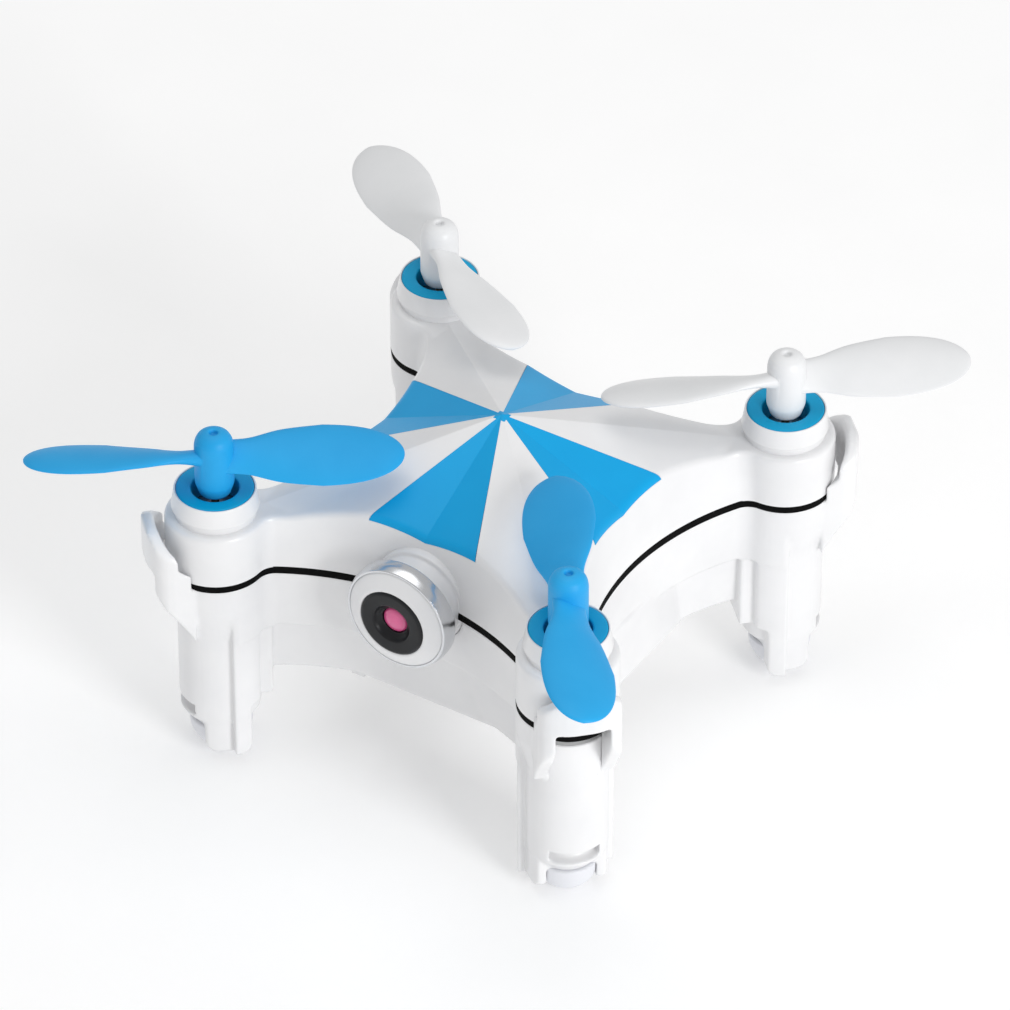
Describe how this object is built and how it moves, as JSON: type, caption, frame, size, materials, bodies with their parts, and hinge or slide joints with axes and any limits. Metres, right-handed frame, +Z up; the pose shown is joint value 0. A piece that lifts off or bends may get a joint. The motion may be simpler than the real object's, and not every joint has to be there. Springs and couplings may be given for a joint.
{
  "type": "mini palm drone",
  "caption": "Palm-sized quadcopter with a star-shaped moulded body on legs that hold the motors, small propellers on top and a round camera at the front.",
  "frame": {"origin": "on the ground, midway between the four motor axes", "axes": "+Z up; -Y forward, the way the camera looks; +X to the drone's left, which is the right of a person facing its camera"},
  "size_m": [0.0872, 0.0854, 0.0475],
  "materials": {
    "white_shell": "glossy injection-moulded ABS",
    "blue_panel": "glossy blue ABS",
    "blue_ring": "satin blue ABS",
    "black_band": "matt black",
    "chrome_trim": "bright plated",
    "lens_black": "glossy black",
    "lens_pink": "coated lens",
    "blue_blade": "satin polypropylene",
    "white_blade": "satin polypropylene",
    "frosted_lens": "frosted translucent acrylic",
    "motor_steel": "drawn steel can",
    "motor_copper": "enamelled copper coil on a steel shaft",
    "magnet": "sintered magnet",
    "white_nylon": "natural nylon",
    "circuit_board": "solder mask green",
    "chip_black": "moulded epoxy",
    "battery_foil": "laminated foil pouch",
    "plated_steel": "zinc plated",
    "led_clear": "clear epoxy",
    "wire_sheath": "thin insulated wire"
  },
  "bodies": {
    "airframe": {"top_shell": "white_shell", "lower_shell": "white_shell", "star_inlay": "blue_panel", "seam_gasket": "black_band", "battery": "battery_foil", "battery_plug": "white_nylon", "main_board": "circuit_board", "board_chips": "chip_black", "usb_socket": "plated_steel", "power_switch": "chip_black", "shell_screws": "plated_steel", "foot_leds": "led_clear", "motor_magnets": "magnet", "motor_leads": "wire_sheath", "camera_collar": "white_shell", "camera_chrome_ring": "chrome_trim", "camera_bezel": "white_shell", "camera_lens_mount": "lens_black", "camera_lens": "lens_pink", "camera_board": "circuit_board", "motor_ring_front_right": "blue_ring", "motor_can_front_right": "motor_steel", "motor_end_cap_front_right": "white_nylon", "leg_cover_front_right": "white_shell", "foot_lens_front_right": "frosted_lens", "motor_ring_front_left": "blue_ring", "motor_can_front_left": "motor_steel", "motor_end_cap_front_left": "white_nylon", "leg_cover_front_left": "white_shell", "foot_lens_front_left": "frosted_lens", "motor_ring_rear_left": "blue_ring", "motor_can_rear_left": "motor_steel", "motor_end_cap_rear_left": "white_nylon", "leg_cover_rear_left": "white_shell", "foot_lens_rear_left": "frosted_lens", "motor_ring_rear_right": "blue_ring", "motor_can_rear_right": "motor_steel", "motor_end_cap_rear_right": "white_nylon", "leg_cover_rear_right": "white_shell", "foot_lens_rear_right": "frosted_lens"},
    "power_button": {"power_button": "blue_ring"},
    "battery_door": {"battery_door": "white_shell"},
    "rotor_front_right": {"propeller_front_right": "blue_blade", "motor_rotor_front_right": "motor_copper"},
    "rotor_front_left": {"propeller_front_left": "blue_blade", "motor_rotor_front_left": "motor_copper"},
    "rotor_rear_left": {"propeller_rear_left": "white_blade", "motor_rotor_rear_left": "motor_copper"},
    "rotor_rear_right": {"propeller_rear_right": "white_blade", "motor_rotor_rear_right": "motor_copper"}
  },
  "joints": [
    {"name": "prop_spin_front_right", "type": "hinge", "parent": "airframe", "child": "rotor_front_right", "pos_m": [-0.025, -0.025, 0.0437], "axis": [0, 0, 1], "continuous": true},
    {"name": "prop_spin_front_left", "type": "hinge", "parent": "airframe", "child": "rotor_front_left", "pos_m": [0.025, -0.025, 0.0437], "axis": [0, 0, -1], "continuous": true},
    {"name": "prop_spin_rear_left", "type": "hinge", "parent": "airframe", "child": "rotor_rear_left", "pos_m": [0.025, 0.025, 0.0437], "axis": [0, 0, 1], "continuous": true},
    {"name": "prop_spin_rear_right", "type": "hinge", "parent": "airframe", "child": "rotor_rear_right", "pos_m": [-0.025, 0.025, 0.0437], "axis": [0, 0, -1], "continuous": true},
    {"name": "power_button_press", "type": "slide", "parent": "airframe", "child": "power_button", "axis": [0, -1, 0], "range_m": [0, 0.0005], "stiffness_N_per_m": 300, "springref_m": -0.0002},
    {"name": "battery_door_slide", "type": "slide", "parent": "airframe", "child": "battery_door", "axis": [0, 1, 0], "range_m": [0, 0.026]}
  ]
}
